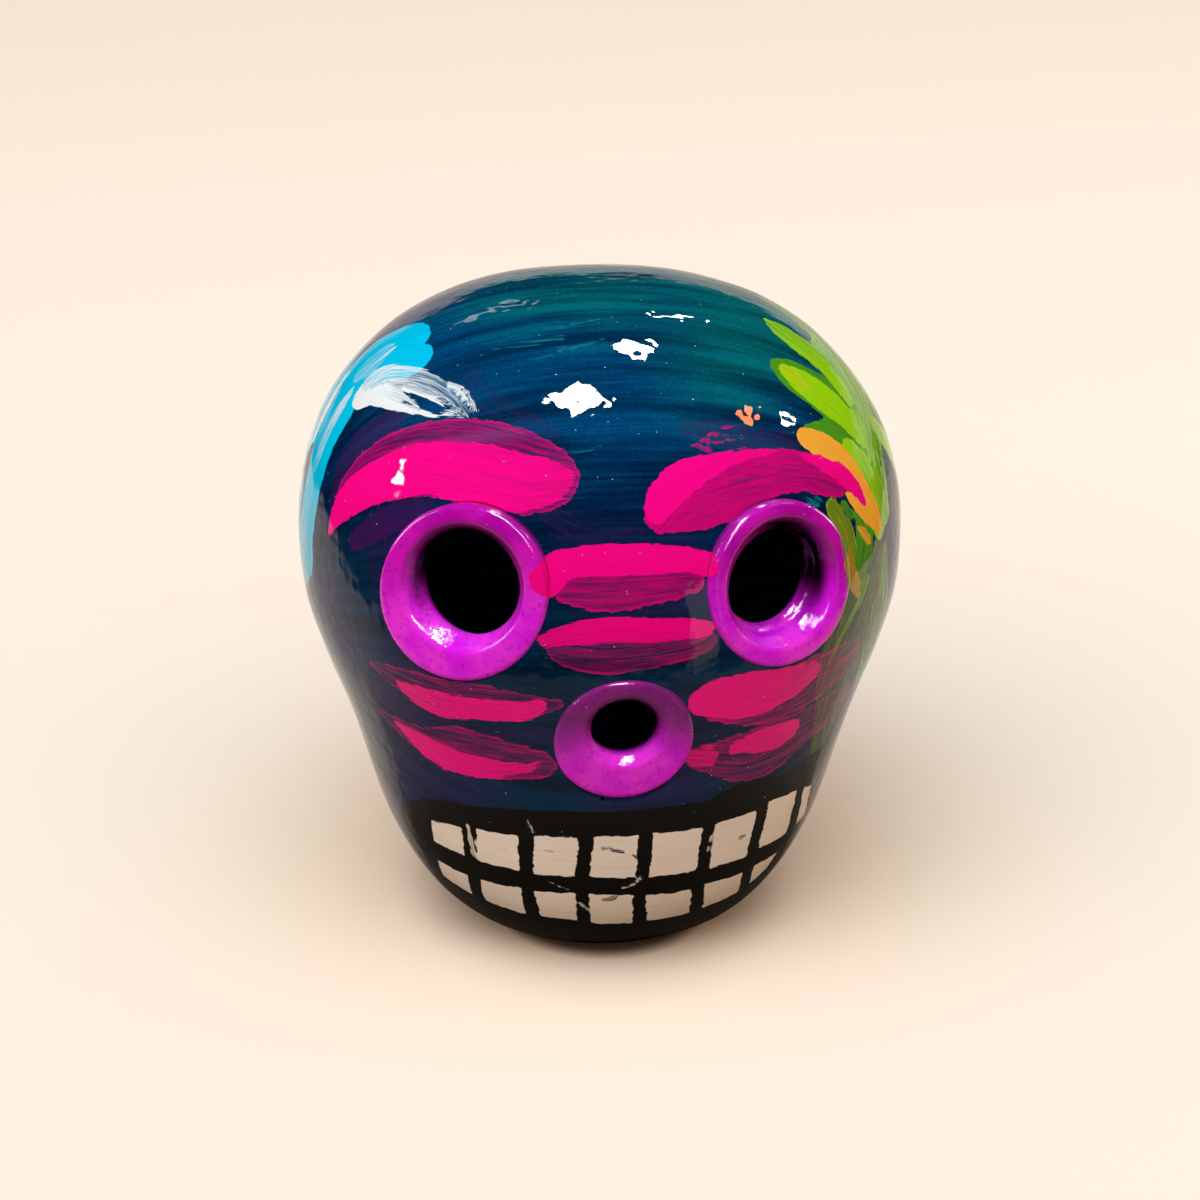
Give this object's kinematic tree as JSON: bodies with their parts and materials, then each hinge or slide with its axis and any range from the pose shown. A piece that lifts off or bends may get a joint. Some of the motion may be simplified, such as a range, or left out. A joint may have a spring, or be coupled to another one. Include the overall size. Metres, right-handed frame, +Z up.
{
  "type": "sugar skull",
  "caption": "Hollow hand-painted ceramic skull ornament in sugar-skull style, with ringed eye and nose holes and a flat base to stand on.",
  "frame": {"origin": "centre of the bounding box, at the level of the flat base", "axes": "+Z up, the face looks along -Y, +X to the skull's left"},
  "size_m": [0.0742, 0.0874, 0.0812],
  "materials": {
    "painted_shell": "blue to green paint under a thick gloss lacquer",
    "painted_ring": "magenta violet paint under a thick gloss lacquer",
    "bare_clay": "bare fired clay, matt"
  },
  "bodies": {
    "root": {"front_shell": "painted_shell", "back_shell": "painted_shell", "seam_coil": "bare_clay", "right_eye_ring": "painted_ring", "left_eye_ring": "painted_ring", "nose_ring": "painted_ring"}
  },
  "joints": []
}
